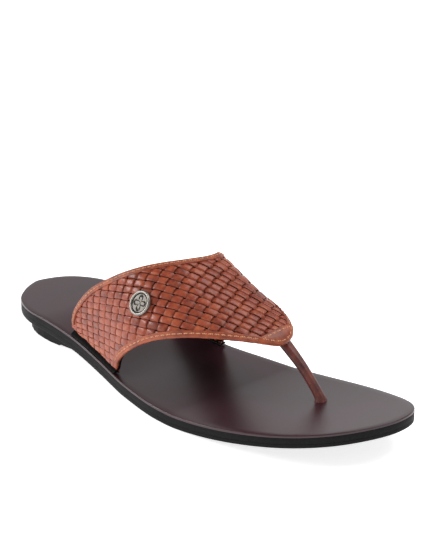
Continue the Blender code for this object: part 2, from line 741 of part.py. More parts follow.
washer_z = lift(POST_X) + Z_MID
tilt = -math.atan2(lift(POST_X + 3) - lift(POST_X - 3), 6 * MM * SCALE)
hole = CORD_R + 2 * GAP
turned(((hole, WASHER_T), (WASHER_R, WASHER_T), (WASHER_R, 0.0), (hole, 0.0)),
       Matrix.Translation((foot_x, POST_Y_M, washer_z)) @ Matrix.Rotation(tilt, 4, "Y"),
       "toe_post_washer", "steel", 28)

# ---------------------------------------------------------------- badge
washer = LINING_BOTTOM - 2 * GAP
head = washer - BACK_WASHER_T - GAP
turned(((0.0, FIELD_T), (FIELD_R, FIELD_T), (FIELD_R + 0.0004, BADGE_T),
        (BADGE_R - BADGE_ROUND, BADGE_T), (BADGE_R, BADGE_T - BADGE_ROUND), (BADGE_R, GAP),
        (RIVET_R, GAP), (RIVET_R, head), (RIVET_HEAD_R, head),
        (RIVET_HEAD_R, head - RIVET_HEAD_T), (0.0, head - RIVET_HEAD_T)),
       PLACE, "badge", "badge")
turned(((RIVET_R + GAP, washer), (BACK_WASHER_R, washer),
        (BACK_WASHER_R, washer - BACK_WASHER_T), (RIVET_R + GAP, washer - BACK_WASHER_T)),
       PLACE, "badge_back_washer", "steel", 28)
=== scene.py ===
"""Looks of a men's leather toe-post sandal, right foot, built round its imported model.

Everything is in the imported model's frame: +X from heel to toe, +Y to the inner side of
the foot, +Z up, in metres. Stations along the foot are millimetres from the back of the
heel, and shares run across the vamp's arch from -1 (outer foot) over 0 (crown) to 1.
"""

import math

import bmesh
import bpy
import numpy as np
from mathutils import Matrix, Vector


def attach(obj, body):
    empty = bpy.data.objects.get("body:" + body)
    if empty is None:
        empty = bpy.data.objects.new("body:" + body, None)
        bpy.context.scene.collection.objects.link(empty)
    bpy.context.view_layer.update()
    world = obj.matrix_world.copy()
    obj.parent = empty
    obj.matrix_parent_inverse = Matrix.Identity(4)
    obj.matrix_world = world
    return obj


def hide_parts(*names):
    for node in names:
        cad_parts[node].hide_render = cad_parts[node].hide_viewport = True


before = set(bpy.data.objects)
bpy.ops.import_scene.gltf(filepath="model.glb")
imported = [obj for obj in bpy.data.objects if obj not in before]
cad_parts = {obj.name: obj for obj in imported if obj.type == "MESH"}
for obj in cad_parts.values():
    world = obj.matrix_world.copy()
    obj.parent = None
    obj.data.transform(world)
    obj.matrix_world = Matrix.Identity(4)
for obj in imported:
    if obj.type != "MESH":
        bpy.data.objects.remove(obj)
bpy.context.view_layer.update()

MM = 0.001
rng = np.random.default_rng(7)

# ---------------------------------------------------------------- sizes shared with the CAD
BALL_WIDTH = 0.0963
HEEL_WIDTH = 0.0712
HEEL_RAISE = 0.0072           # heel of the outsole over the ground
TOE_SPRING = 0.0165           # tip of the toe over the ground
INSTEP = 0.070
GAP = 0.0003                  # between two CAD solids
OUTSOLE_T = 0.0035
OUTSOLE_THIN = 0.0012         # what the outsole loses towards the toe
MIDSOLE_T = 0.0033
COVER_T = 0.0012
WOVEN_T = 0.0022
LINING_T = 0.0012
BINDING_T = 0.0007
VAMP_INSET = 0.0012           # of the vamp's feet from the sole's edge
TIP_INSET = 0.0042            # what the inset grows by towards the tip
BAND_BACK, BAND_FRONT = 0.042, 0.024  # shares that a folded edge leaves free at its ends
PATCH_BACK = 219.0            # station of the tip patch's rear stitches
PATCH_SHARES = (-0.232, 0.100)
STITCH_IN = 0.0021            # stitch line from the edge
POST_R = 0.0027
POST_X, POST_Y = 245.0, 0.125  # station, share of the ball width
POST_SHARE = -0.01
POST_BOW = 0.0011
POST_BACK = 4.5
BADGE_R = 0.0072
BADGE_AT = (152.6, -0.571)    # station, share
WIDENING = (90.0, 60.0)       # first station and length of a change along the foot
HEEL_FALL = (50.0, 100.0)
THINNING = (60.0, 220.0)
TIP_DRAW = (145.0, 50.0)
TOE_START, TOE_END, TOE_POWER = 195.0, 303.0, 1.45

# The sole's outline: station, and distance from the middle line as a share of the width.
OUTLINE = (
    (0.0, 0.04), (4.6, 0.235), (14.0, 0.375), (30.0, 0.475), (58.0, 0.500), (88.0, 0.475),
    (118.0, 0.395), (150.0, 0.345), (182.0, 0.395), (214.0, 0.440), (243.0, 0.450),
    (268.0, 0.420), (288.5, 0.355), (300.0, 0.245), (303.0, 0.085), (297.5, -0.085),
    (285.0, -0.255), (265.0, -0.390), (239.0, -0.480), (211.0, -0.530), (182.0, -0.545),
    (152.0, -0.500), (122.0, -0.490), (92.0, -0.520), (62.0, -0.495), (38.0, -0.470),
    (20.0, -0.375), (8.5, -0.225), (1.6, -0.070),
)
# By station: the arch's height as a share of the instep, its middle as a share of the ball
# width, and the fullness of its outer and inner side.
CROWN = ((70, 1.155), (110, 1.14), (154, 1.0), (185, 0.782), (205, 0.643), (215, 0.570),
         (221, 0.508), (227, 0.420), (233, 0.325))
CROWN_Y = ((70, 0.021), (150, 0.062), (225, 0.125))
FULL_OUT = ((80, 2.3), (150, 2.2), (225, 2.0))
FULL_IN = ((80, 2.5), (150, 2.4), (225, 2.2))
# The vamp's two edges: share, station.
BACK_EDGE = ((-1.0, 84), (-0.93, 85), (-0.88, 88), (-0.75, 101), (-0.60, 119), (-0.41, 138.5),
             (-0.21, 154.3), (-0.06, 160.6), (0.05, 161.3), (0.20, 158), (0.45, 148.5),
             (0.70, 132), (0.88, 112), (1.0, 97))
FRONT_EDGE = ((-1.0, 137), (-0.93, 141), (-0.79, 158), (-0.62, 178), (-0.45, 197),
              (-0.30, 213.5), (-0.20, 221.4), (-0.10, 225.0), (0.0, 223.4), (0.10, 218.7),
              (0.22, 210.5), (0.37, 197.0), (0.53, 181), (0.70, 166.5), (0.85, 154.5),
              (1.0, 147))
NEAR = 0.01                   # share either side of a point that its slope is taken over


# ---------------------------------------------------------------- the last's surfaces
def ease(t):
    t = np.clip(t, 0.0, 1.0)
    return t * t * (3.0 - 2.0 * t)


def change(station, span):
    """From 0 to 1 over a span that starts at a station and has a length."""
    return ease((np.asarray(station, float) - span[0]) / span[1])


def through(knots, x):
    """Smooth curve through (x, y) knots, straight on beyond its ends."""
    xs, ys = np.array(knots, float).T
    slope = np.empty_like(xs)
    slope[1:-1] = (ys[2:] - ys[:-2]) / (xs[2:] - xs[:-2])
    slope[0] = (ys[1] - ys[0]) / (xs[1] - xs[0])
    slope[-1] = (ys[-1] - ys[-2]) / (xs[-1] - xs[-2])
    x = np.asarray(x, float)
    i = np.clip(np.searchsorted(xs, x, side="right") - 1, 0, len(xs) - 2)
    h = xs[i + 1] - xs[i]
    t = np.clip((x - xs[i]) / h, 0.0, 1.0)
    y = ((2 * t**3 - 3 * t**2 + 1) * ys[i] + (t**3 - 2 * t**2 + t) * h * slope[i]
         + (3 * t**2 - 2 * t**3) * ys[i + 1] + (t**3 - t**2) * h * slope[i + 1])
    return y + np.minimum(x - xs[0], 0.0) * slope[0] + np.maximum(x - xs[-1], 0.0) * slope[-1]


def between(a, b, c, d, t):
    """Points of the smooth curve from b to c, with a and d as its neighbours."""
    return 0.5 * (2 * b + (c - a) * t + (2 * a - 5 * b + 4 * c - d) * t**2
                  + (3 * b - a - 3 * c + d) * t**3)


def unit(vectors):
    return vectors / np.linalg.norm(vectors, axis=-1, keepdims=True)


def lengths(points):
    """Distance along a path of points, from its first one."""
    steps = np.linalg.norm(np.diff(points, axis=0), axis=1)
    return np.concatenate([[0.0], np.cumsum(steps)])


def outline(count):
    """The sole's closed outline, clockwise from above, evenly spaced."""
    station, side = np.array(OUTLINE).T
    width = HEEL_WIDTH + (BALL_WIDTH - HEEL_WIDTH) * change(station, WIDENING)
    knots = np.stack([station * MM, side * width], axis=1)
    t = np.linspace(0.0, 1.0, 24, endpoint=False)[:, None]
    loop = [between(*np.roll(knots, 1 - i, axis=0)[:4], t) for i in range(len(knots))]
    loop = np.concatenate(loop + [loop[0][:1]])
    run = lengths(loop)
    at = np.linspace(0.0, run[-1], count, endpoint=False)
    return np.stack([np.interp(at, run, loop[:, k]) for k in (0, 1)], axis=1)


EDGE = outline(1440)
X_MID, Y_MID = 0.5 * (EDGE.max(axis=0) + EDGE.min(axis=0))
MIDLINE_Y = 0.02 * BALL_WIDTH
SIDES = {}
for side in (-1, 1):
    half = EDGE[(EDGE[:, 1] - MIDLINE_Y) * side > 0]
    SIDES[side] = half[np.argsort(half[:, 0])]


def edge_y(station, side):
    return np.interp(np.asarray(station) * MM, SIDES[side][:, 0], SIDES[side][:, 1])


def under(station):
    """Height of the outsole's underside over the ground."""
    toe = np.maximum(0.0, np.asarray(station, float) - TOE_START) / (TOE_END - TOE_START)
    return HEEL_RAISE * (1.0 - change(station, HEEL_FALL)) + TOE_SPRING * toe**TOE_POWER


def lift(station):
    """What the layers over the outsole are raised by."""
    return under(station) - OUTSOLE_THIN * change(station, THINNING)


Z_MIDSOLE = OUTSOLE_T + GAP
Z_COVER = Z_MIDSOLE + MIDSOLE_T + GAP
Z_TOP = Z_COVER + COVER_T


def arch(station, share):
    """Points of the vamp's outer surface, as an array with x, y, z last."""
    s, a = np.broadcast_arrays(np.asarray(station, float), np.asarray(share, float))
    inset = VAMP_INSET + TIP_INSET * change(s, TIP_DRAW)
    crown_y = through(CROWN_Y, s) * BALL_WIDTH
    half = np.where(a < 0, crown_y - edge_y(s, -1) - inset, edge_y(s, 1) - inset - crown_y)
    full = 2.0 / np.where(a < 0, through(FULL_OUT, s), through(FULL_IN, s))
    turn = a * math.pi / 2
    y = crown_y + np.sign(a) * half * np.abs(np.sin(turn)) ** full
    z = (lift(s) + Z_TOP + GAP
         + through(CROWN, s) * INSTEP * np.maximum(0.0, np.cos(turn)) ** full)
    return np.stack([s * MM - X_MID, y - Y_MID, z], axis=-1)


def slopes(s, a):
    """How the surface runs by a millimetre of station and by a whole share."""
    a0, a1 = np.maximum(a - NEAR, -1.0), np.minimum(a + NEAR, 1.0)
    by_a = (arch(s, a1) - arch(s, a0)) / (a1 - a0)[..., None]
    return arch(s + 0.5, a) - arch(s - 0.5, a), by_a


def over(station, share, height):
    """Points at a height over the vamp's surface, along its normal."""
    s, a = np.asarray(station, float), np.asarray(share, float)
    return arch(s, a) + unit(np.cross(*slopes(s, a))) * np.asarray(height, float)[..., None]


def from_edge(knots, share, inset):
    """Station and share of the points that lie inset in from an edge of the vamp."""
    a = np.asarray(share, float)
    station = through(knots, a)
    by_s, by_a = slopes(station, a)
    slope = (through(knots, a + 0.4 * NEAR) - through(knots, a - 0.4 * NEAR)) / (0.8 * NEAR)
    run = unit(by_a + by_s * slope[..., None])
    into = unit(by_s - run * np.sum(by_s * run, axis=-1, keepdims=True))
    into *= np.asarray(inset)[..., None] * (1.0 if knots is BACK_EDGE else -1.0)
    ss, sa, aa = ((by_s * by_s).sum(-1), (by_s * by_a).sum(-1), (by_a * by_a).sum(-1))
    bs, ba = (into * by_s).sum(-1), (into * by_a).sum(-1)
    det = ss * aa - sa * sa
    return station + (bs * aa - ba * sa) / det, np.clip(a + (ba * ss - bs * sa) / det, -1, 1)


# ---------------------------------------------------------------- materials
def linear(hex_code):
    """An sRGB hex colour as linear RGBA."""
    parts = [int(hex_code[i:i + 2], 16) / 255 for i in (1, 3, 5)]
    return (*[c / 12.92 if c <= 0.04045 else ((c + 0.055) / 1.055) ** 2.4 for c in parts], 1.0)


def per(mm):
    """Scale of a texture whose features are this many millimetres across."""
    return 1.0 / (mm * MM)


def node(tree, kind, sockets=None, out=0, stops=(), **settings):
    """Adds a node, or takes one that is there, and returns one of its outputs. A socket's
    value is a number, a colour or an output; stops are a ramp's (position, sRGB hex)."""
    made = tree.nodes.new(kind) if isinstance(kind, str) else kind
    for name, value in settings.items():
        setattr(made, name, value)
    for key, value in (sockets or {}).items():
        if isinstance(value, bpy.types.NodeSocket):
            tree.links.new(value, made.inputs[key])
        else:
            made.inputs[key].default_value = value
    if stops:
        bar = made.color_ramp.elements
        bar.remove(bar[1])
        bar[0].position, bar[0].color = stops[0][0], linear(stops[0][1])
        for at, code in stops[1:]:
            bar.new(at).color = linear(code)
    return made.outputs[out]


def blank(name):
    """A material with its node tree, shader and object coordinates."""
    mat = bpy.data.materials.new(name)
    mat.use_nodes = True
    tree = mat.node_tree
    where = node(tree, "ShaderNodeTexCoord", out="Object")
    return mat, tree, tree.nodes["Principled BSDF"], where


def leather_strips():
    """Vegetable-tanned cowhide cut in strips, cross-dyed and waxed by hand: the colour
    drifts from orange to oxblood, and wax darkens the edges of every strip. A painted
    shade darkens each strip where it dives under a neighbour."""
    mat, tree, shader, where = blank("waxed_cowhide_strips")
    # The deep value carries a painted shade where a strip dives under its neighbour.
    tone, rim, deep = (node(tree, "ShaderNodeAttribute", out="Fac", attribute_name=name)
                       for name in ("tone", "rim", "deep"))
    cloud = node(tree, "ShaderNodeTexNoise", {"Vector": where, "Scale": per(11), "Detail": 3.0})
    mottle = node(tree, "ShaderNodeTexNoise",
                  {"Vector": where, "Scale": per(2.2), "Detail": 4.0})
    # Each strip's own tone moves it along the dye's colours by up to a sixth either way.
    drift = node(tree, "ShaderNodeMath", {0: tone, 1: 0.34}, operation="MULTIPLY")
    drift = node(tree, "ShaderNodeMath", {0: cloud, 1: drift}, operation="ADD")
    drift = node(tree, "ShaderNodeMath", {0: drift, 1: 0.17}, operation="SUBTRACT")
    dye = node(tree, "ShaderNodeValToRGB", {"Fac": drift},
               stops=((0.28, "#6a281a"), (0.44, "#8d3822"), (0.58, "#9e4529"),
                      (0.74, "#b25b39")))
    streak = node(tree, "ShaderNodeValToRGB", {"Fac": mottle},
                  stops=((0.35, "#64261a"), (0.65, "#a85a38")))
    base = node(tree, "ShaderNodeMix", {0: 0.35, 6: dye, 7: streak}, 2, data_type="RGBA")
    base = node(tree, "ShaderNodeMix", {0: rim, 6: base, 7: linear("#531e13")}, 2,
                data_type="RGBA")
    # Painted shade: the colour goes towards #2a0d08 where a strip dives under a neighbour.
    base = node(tree, "ShaderNodeMix", {0: deep, 6: base, 7: linear("#2a0d08")}, 2,
                data_type="RGBA")
    grain = node(tree, "ShaderNodeTexVoronoi", {"Vector": where, "Scale": per(0.55)},
                 "Distance", feature="DISTANCE_TO_EDGE")
    crease = node(tree, "ShaderNodeTexNoise",
                  {"Vector": where, "Scale": per(1.4), "Detail": 5.0})
    relief = node(tree, "ShaderNodeMath", {0: grain, 1: crease}, operation="ADD")
    node(tree, shader, {
        "Base Color": base,
        "Roughness": node(tree, "ShaderNodeMapRange",
                          {"Value": mottle, "To Min": 0.30, "To Max": 0.50}),
        "Specular IOR Level": 0.22, "Coat Weight": 0.36, "Coat Roughness": 0.22,
        "Normal": node(tree, "ShaderNodeBump",
                       {"Height": relief, "Distance": 0.10 * MM, "Strength": 0.55})})
    return mat


def leather_edge(name, light, dark):
    """The same hide folded and pressed round an edge: smoother and lighter, because
    turning stretches the wax off, with fine pores."""
    mat, tree, shader, where = blank(name)
    cloud = node(tree, "ShaderNodeTexNoise", {"Vector": where, "Scale": per(6), "Detail": 4.0})
    grain = node(tree, "ShaderNodeTexVoronoi", {"Vector": where, "Scale": per(0.5)},
                 "Distance", feature="DISTANCE_TO_EDGE")
    node(tree, shader, {
        "Base Color": node(tree, "ShaderNodeValToRGB", {"Fac": cloud},
                           stops=((0.34, dark), (0.66, light))),
        "Roughness": node(tree, "ShaderNodeMapRange",
                          {"Value": cloud, "To Min": 0.36, "To Max": 0.52}),
        "Normal": node(tree, "ShaderNodeBump",
                       {"Height": grain, "Distance": 0.08 * MM, "Strength": 0.5})})
    return mat


def leather_footbed():
    """Smooth corrected-grain cowhide, dyed near black brown and polished: a satin
    surface that mirrors a soft band of light at a low angle. Its pores are drawn twice as
    coarse as the real ones so that they show."""
    mat, tree, shader, where = blank("polished_footbed_leather")
    cloud = node(tree, "ShaderNodeTexNoise", {"Vector": where, "Scale": per(38), "Detail": 3.0})
    pores = node(tree, "ShaderNodeTexVoronoi", {"Vector": where, "Scale": per(0.7)},
                 "Distance", feature="DISTANCE_TO_EDGE")
    node(tree, shader, {
        "Base Color": node(tree, "ShaderNodeValToRGB", {"Fac": cloud},
                           stops=((0.35, "#2a1117"), (0.65, "#351720"))),
        "Roughness": node(tree, "ShaderNodeMapRange",
                          {"Value": cloud, "To Min": 0.27, "To Max": 0.33}),
        "Normal": node(tree, "ShaderNodeBump",
                       {"Height": pores, "Distance": 0.03 * MM, "Strength": 0.35})})
    return mat


def rubber(name, dark, light, roughness, relief_mm):
    """Compression-moulded rubber: near black and dull, with the mould's fine texture."""
    mat, tree, shader, where = blank(name)
    speck = node(tree, "ShaderNodeTexNoise", {"Vector": where, "Scale": per(1.2), "Detail": 4.0})
    node(tree, shader, {
        "Base Color": node(tree, "ShaderNodeValToRGB", {"Fac": speck},
                           stops=((0.35, dark), (0.65, light))),
        "Roughness": node(tree, "ShaderNodeMapRange",
                          {"Value": speck, "To Min": roughness - 0.06,
                           "To Max": roughness + 0.06}),
        "Specular IOR Level": 0.10,
        "Normal": node(tree, "ShaderNodeBump",
                       {"Height": speck, "Distance": relief_mm * MM, "Strength": 0.5})})
    return mat


def woven_cloth(name, dark, light, thread_mm):
    """Plain-woven tape or lining cloth, matt, with crossing threads that are drawn four
    times as coarse as the real ones so that they show."""
    mat, tree, shader, where = blank(name)
    turned = node(tree, "ShaderNodeMapping", {"Vector": where, "Rotation": (0.6, 0.5, 0.785)})
    across, along = (
        node(tree, "ShaderNodeTexWave",
             {"Vector": turned, "Scale": per(thread_mm) / (2 * math.pi) * 0.5,
              "Distortion": 0.4}, "Fac", bands_direction=axis)
        for axis in ("X", "Y"))
    weave = node(tree, "ShaderNodeMath", {0: across, 1: along}, operation="MULTIPLY")
    node(tree, shader, {
        "Base Color": node(tree, "ShaderNodeValToRGB", {"Fac": weave},
                           stops=((0.1, dark), (0.8, light))),
        "Roughness": node(tree, "ShaderNodeMapRange",
                          {"Value": weave, "To Min": 0.72, "To Max": 0.90}),
        "Specular IOR Level": 0.15,
        "Normal": node(tree, "ShaderNodeBump",
                       {"Height": weave, "Distance": 0.12 * MM, "Strength": 0.6})})
    return mat


def thread_finish():
    """Waxed polyester thread: twisted plies catch the light as slanting ridges, drawn
    twice as coarse as the real ones so that they show."""
    mat, tree, shader, where = blank("waxed_polyester_thread")
    ply = node(tree, "ShaderNodeTexWave",
               {"Vector": where, "Scale": per(2.4), "Distortion": 1.5}, "Fac",
               bands_direction="DIAGONAL")
    node(tree, shader, {
        "Base Color": node(tree, "ShaderNodeValToRGB", {"Fac": ply},
                           stops=((0.2, "#a35c39"), (0.8, "#d79d76"))),
        "Roughness": node(tree, "ShaderNodeMapRange",
                          {"Value": ply, "To Min": 0.40, "To Max": 0.60}),
        "Normal": node(tree, "ShaderNodeBump",
                       {"Height": ply, "Distance": 0.08 * MM, "Strength": 0.6})})
    return mat


def foam(name, dark, light):
    """Open-cell foam: matt, with its cells showing as fine pits."""
    mat, tree, shader, where = blank(name)
    cells = node(tree, "ShaderNodeTexVoronoi", {"Vector": where, "Scale": per(0.6)}, "Distance")
    node(tree, shader, {
        "Base Color": node(tree, "ShaderNodeValToRGB", {"Fac": cells},
                           stops=((0.1, light), (0.7, dark))),
        "Roughness": node(tree, "ShaderNodeMapRange",
                          {"Value": cells, "To Min": 0.8, "To Max": 0.95}),
        "Normal": node(tree, "ShaderNodeBump",
                       {"Height": cells, "Distance": 0.15 * MM, "Strength": 0.6})})
    return mat


def plated(name, bright, dark, roughness, grit_mm):
    """Plated metal, blackened then rubbed back: bright on high ground, dark in hollows."""
    mat, tree, shader, where = blank(name)
    grit = node(tree, "ShaderNodeTexNoise",
                {"Vector": where, "Scale": per(grit_mm), "Detail": 6.0})
    hollow = node(tree, "ShaderNodeAttribute", out="Fac", attribute_name="hollow")
    rubbed = node(tree, "ShaderNodeValToRGB", {"Fac": grit},
                  stops=((0.3, dark), (0.6, bright)))
    node(tree, shader, {
        "Base Color": node(tree, "ShaderNodeMix",
                           {0: hollow, 6: rubbed, 7: linear("#1c1a19")}, 2,
                           data_type="RGBA"),
        "Metallic": 1.0,
        "Roughness": node(tree, "ShaderNodeMapRange",
                          {"Value": grit, "To Min": roughness - 0.08,
                           "To Max": roughness + 0.14}),
        "Normal": node(tree, "ShaderNodeBump",
                       {"Height": grit, "Distance": 0.05 * MM, "Strength": 0.5})})
    return mat


FINISHES = {
    "strips": leather_strips(),
    "edge": leather_edge("folded_cowhide_edge", "#a4502e", "#74311e"),
    "patch": leather_edge("pressed_cowhide_patch", "#a8522d", "#78331d"),
    "post": leather_edge("wrapped_cowhide_post", "#75352a", "#441c18"),
    "footbed": leather_footbed(),
    "outsole": rubber("moulded_rubber_outsole", "#0c0c0c", "#151515", 0.55, 0.08),
    "midsole": rubber("die_cut_eva_midsole", "#0d0d0d", "#161616", 0.58, 0.10),
    # Real black lining, made near black partly as painted shade where the vamp tucks under.
    "lining": woven_cloth("black_lining_cloth", "#020202", "#0a0909", 0.5),
    "webbing": woven_cloth("black_nylon_webbing", "#070707", "#1d1c1c", 0.9),
    "thread": thread_finish(),
    "foam": foam("polyurethane_foam_pad", "#8d8068", "#cbbd9f"),
    "badge": plated("antique_silver_zinc", "#98938c", "#57534e", 0.36, 0.25),
    "steel": plated("nickel_plated_steel", "#c4c4c2", "#9c9c9a", 0.30, 0.8),
    "cord": woven_cloth("twisted_cotton_cord", "#8f8268", "#d8cbb0", 1.2),
}


# ---------------------------------------------------------------- mesh helpers
def piece(name, verts, faces, finish, replaces, slot, smooth=40, **values):
    """A mesh object that rides on the sandal, with a value for each vertex by name."""
    mesh = bpy.data.meshes.new(name)
    mesh.from_pydata([tuple(v) for v in np.asarray(verts)], [],
                     [tuple(int(k) for k in f) for f in faces])
    for label, array in values.items():
        layer = mesh.attributes.new(label, "FLOAT", "POINT")
        layer.data.foreach_set("value", np.asarray(array, np.float32).ravel())
    mesh.validate()
    mesh.shade_smooth()
    mesh.set_sharp_from_angle(angle=math.radians(smooth))
    mesh.materials.append(FINISHES[finish])
    obj = bpy.data.objects.new(name, mesh)
    bpy.context.scene.collection.objects.link(obj)
    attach(obj, "root")
    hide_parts(replaces)
    return obj


def outward(obj, weld=0.0, shed=False):
    """Turns a mesh's faces outward, after welding its near points or shedding loose ones."""
    bm = bmesh.new()
    bm.from_mesh(obj.data)
    if weld:
        bmesh.ops.remove_doubles(bm, verts=bm.verts, dist=weld)
    if shed:
        bmesh.ops.delete(bm, geom=[v for v in bm.verts if not v.link_faces], context="VERTS")
        bmesh.ops.dissolve_degenerate(bm, dist=1e-6, edges=bm.edges)
    bmesh.ops.recalc_face_normals(bm, faces=bm.faces)
    bm.to_mesh(obj.data)
    bm.free()


def grid_faces(rows, cols, start=0, closed=False):
    """Quads between the points of a grid that is stored row by row."""
    i, j = np.meshgrid(np.arange(rows - 1), np.arange(cols - (not closed)), indexing="ij")
    i, j = i.ravel(), j.ravel()
    k, m = i + 1, (j + 1) % cols
    return start + np.stack([i * cols + j, k * cols + j, k * cols + m, i * cols + m], axis=1)


def swept(rings):
    """Points and faces of a skin over closed rings, with fans over both ends."""
    rings = np.asarray(rings)
    rows, cols = rings.shape[:2]
    points = np.concatenate([rings.reshape(-1, 3), rings[[0, -1]].mean(axis=1)])
    faces = [tuple(f) for f in grid_faces(rows, cols, closed=True)]
    first, last = rows * cols, rows * cols + 1
    for j in range(cols):
        m = (j + 1) % cols
        faces.append((first, m, j))
        faces.append((last, (rows - 1) * cols + j, (rows - 1) * cols + m))
    return points, faces


def sheet(top, low):
    """Points and faces of a thin closed sheet between two grids of points."""
    rows, cols = top.shape[:2]
    points = np.concatenate([top.reshape(-1, 3), low.reshape(-1, 3)])
    faces = [tuple(f) for f in grid_faces(rows, cols)]
    faces += [tuple(f[::-1]) for f in grid_faces(rows, cols, rows * cols)]
    rim = ([(i, 0) for i in range(rows)] + [(rows - 1, j) for j in range(1, cols)]
           + [(i, cols - 1) for i in range(rows - 2, -1, -1)]
           + [(0, j) for j in range(cols - 2, 0, -1)])
    for (i, j), (k, m) in zip(rim, rim[1:] + rim[:1]):
        one, two = i * cols + j, k * cols + m
        faces.append((two, one, one + rows * cols, two + rows * cols))
    return points, faces


# ---------------------------------------------------------------- the sole
AROUND = 480                  # points round each layer
SPINE = (34.0, 262.0)         # stations between which the sole's faces fan from a spine
FAN = (0.0, 0.25, 0.5, 0.75, 0.9)  # rings of a layer's flat faces, out from the spine
HAIR = 0.00006                # what shows of the glue line between two layers
CRISP = 0.0001                # rounding of a cut edge


def level_rise(station, _z):
    return lift(station)


def tread_rise(station, z):
    """The outsole thins towards the toe from below, so only its top follows the layers."""
    share = np.clip(z / OUTSOLE_T, 0.0, 1.0)
    return under(station) * (1.0 - share) + lift(station) * share


def sole_layer(name, low, high, low_round, high_round, rise, finish, node_name):
    """A layer of the sole between two heights, its bottom and top edges rounded."""
    turn = np.linspace(0.0, math.pi / 2, 5)
    profile = [(k, low) for k in FAN]
    profile += [(1.0, low + low_round * (1 - math.cos(t))) for t in turn]
    profile += [(1.0, high - high_round * (1 - math.sin(t))) for t in turn]
    profile += [(k, high) for k in FAN[::-1]]
    insets = np.zeros(len(profile))
    insets[5:10] = low_round * (1 - np.sin(turn))
    insets[10:15] = high_round * (1 - np.cos(turn))
    edge = outline(AROUND)
    run = unit(np.roll(edge, -1, axis=0) - np.roll(edge, 1, axis=0))
    inward = np.stack([run[:, 1], -run[:, 0]], axis=1)
    spine_x = np.clip(edge[:, 0], SPINE[0] * MM, SPINE[1] * MM)
    middle = 0.5 * (edge_y(spine_x / MM, 1) + edge_y(spine_x / MM, -1))
    spine = np.stack([spine_x, middle], axis=1)
    rings = []
    for (share, z), inset in zip(profile, insets):
        flat = spine + (edge + inward * inset - spine) * share
        height = z + rise(flat[:, 0] / MM, z)
        rings.append(np.column_stack([flat[:, 0] - X_MID, flat[:, 1] - Y_MID, height]))
    faces = grid_faces(len(rings), AROUND, closed=True)
    outward(piece(name, np.concatenate(rings), faces, finish, node_name, node_name, 30),
            weld=2e-5)


sole_layer("outsole_tread", 0.0, OUTSOLE_T, 0.0009, CRISP, tread_rise, "outsole", "outsole")
sole_layer("midsole_wall", OUTSOLE_T + HAIR, Z_COVER - GAP, CRISP, CRISP, level_rise,
           "midsole", "midsole")
sole_layer("footbed_leather", Z_COVER - GAP + HAIR, Z_TOP, CRISP, 0.0006, level_rise,
           "footbed", "footbed_cover")


# ---------------------------------------------------------------- the woven vamp
MOMENTUM, PULL = 0.92, 0.30   # of the points while they settle flat


def flatten(points, rounds=900):
    """Lays a bent grid of points flat, keeping the lengths between its neighbours."""
    rows, cols = points.shape[:2]
    mid = cols // 2
    flat = np.zeros((rows, cols, 2))
    flat[:, :, 0] = points[:, :, 0]
    steps = np.diff(points, axis=1)
    across = np.sqrt(np.maximum((steps**2).sum(axis=2) - steps[:, :, 0] ** 2, 0.0))
    flat[:, mid + 1:, 1] = np.cumsum(across[:, mid:], axis=1)
    flat[:, :mid, 1] = -np.cumsum(across[:, :mid][:, ::-1], axis=1)[:, ::-1]
    links = []
    for di, dj in ((1, 0), (0, 1), (1, 1), (1, -1), (2, 0), (0, 2)):
        one = (slice(0, rows - di), slice(max(0, -dj), cols - max(0, dj)))
        two = (slice(di, rows), slice(max(0, dj), cols + min(0, dj)))
        links.append((one, two, np.linalg.norm(points[one] - points[two], axis=2)))
    count = np.zeros((rows, cols))
    for one, two, _length in links:
        count[one] += 1
        count[two] += 1
    speed = np.zeros_like(flat)
    for _round in range(rounds):
        push = np.zeros_like(flat)
        for one, two, length in links:
            gap = flat[two] - flat[one]
            far = np.linalg.norm(gap, axis=2)
            pull = gap * ((far - length) / far)[:, :, None]
            push[one] += pull
            push[two] -= pull
        speed = MOMENTUM * speed + PULL * push / count[:, :, None]
        flat += speed
    return flat


def on_vamp(t, a):
    """Station that lies this far from the back edge towards the front one."""
    back = through(BACK_EDGE, a)
    return back + (through(FRONT_EDGE, a) - back) * t


# The flat pattern, over shares of the arch and of the way from back to front edge.
CUT_T = np.linspace(-0.25, 1.25, 26)
CUT_A = np.linspace(-1.0, 1.0, 61)
grid_t, grid_a = np.meshgrid(CUT_T, CUT_A, indexing="ij")
CUT = flatten(arch(on_vamp(grid_t, grid_a), grid_a))
crown = CUT[-6, len(CUT_A) // 2] - CUT[5, len(CUT_A) // 2]
turn = -math.atan2(crown[1], crown[0])
TURN = np.array([[math.cos(turn), -math.sin(turn)], [math.sin(turn), math.cos(turn)]])
CUT = (CUT - CUT[0, len(CUT_A) // 2]) @ TURN.T


def on_cut(t, a):
    """Flat positions of points of the vamp, with their slopes by grid step."""
    i = (t - CUT_T[0]) / (CUT_T[1] - CUT_T[0])
    j = (a - CUT_A[0]) / (CUT_A[1] - CUT_A[0])
    i0 = np.clip(np.floor(i).astype(int), 0, len(CUT_T) - 2)
    j0 = np.clip(np.floor(j).astype(int), 0, len(CUT_A) - 2)
    u, v = (i - i0)[..., None], (j - j0)[..., None]
    p, q = CUT[i0, j0], CUT[i0 + 1, j0]
    r, s = CUT[i0, j0 + 1], CUT[i0 + 1, j0 + 1]
    flat = p * (1 - u) * (1 - v) + q * u * (1 - v) + r * (1 - u) * v + s * u * v
    return flat, (q - p) * (1 - v) + (s - r) * v, (r - p) * (1 - u) + (s - q) * u


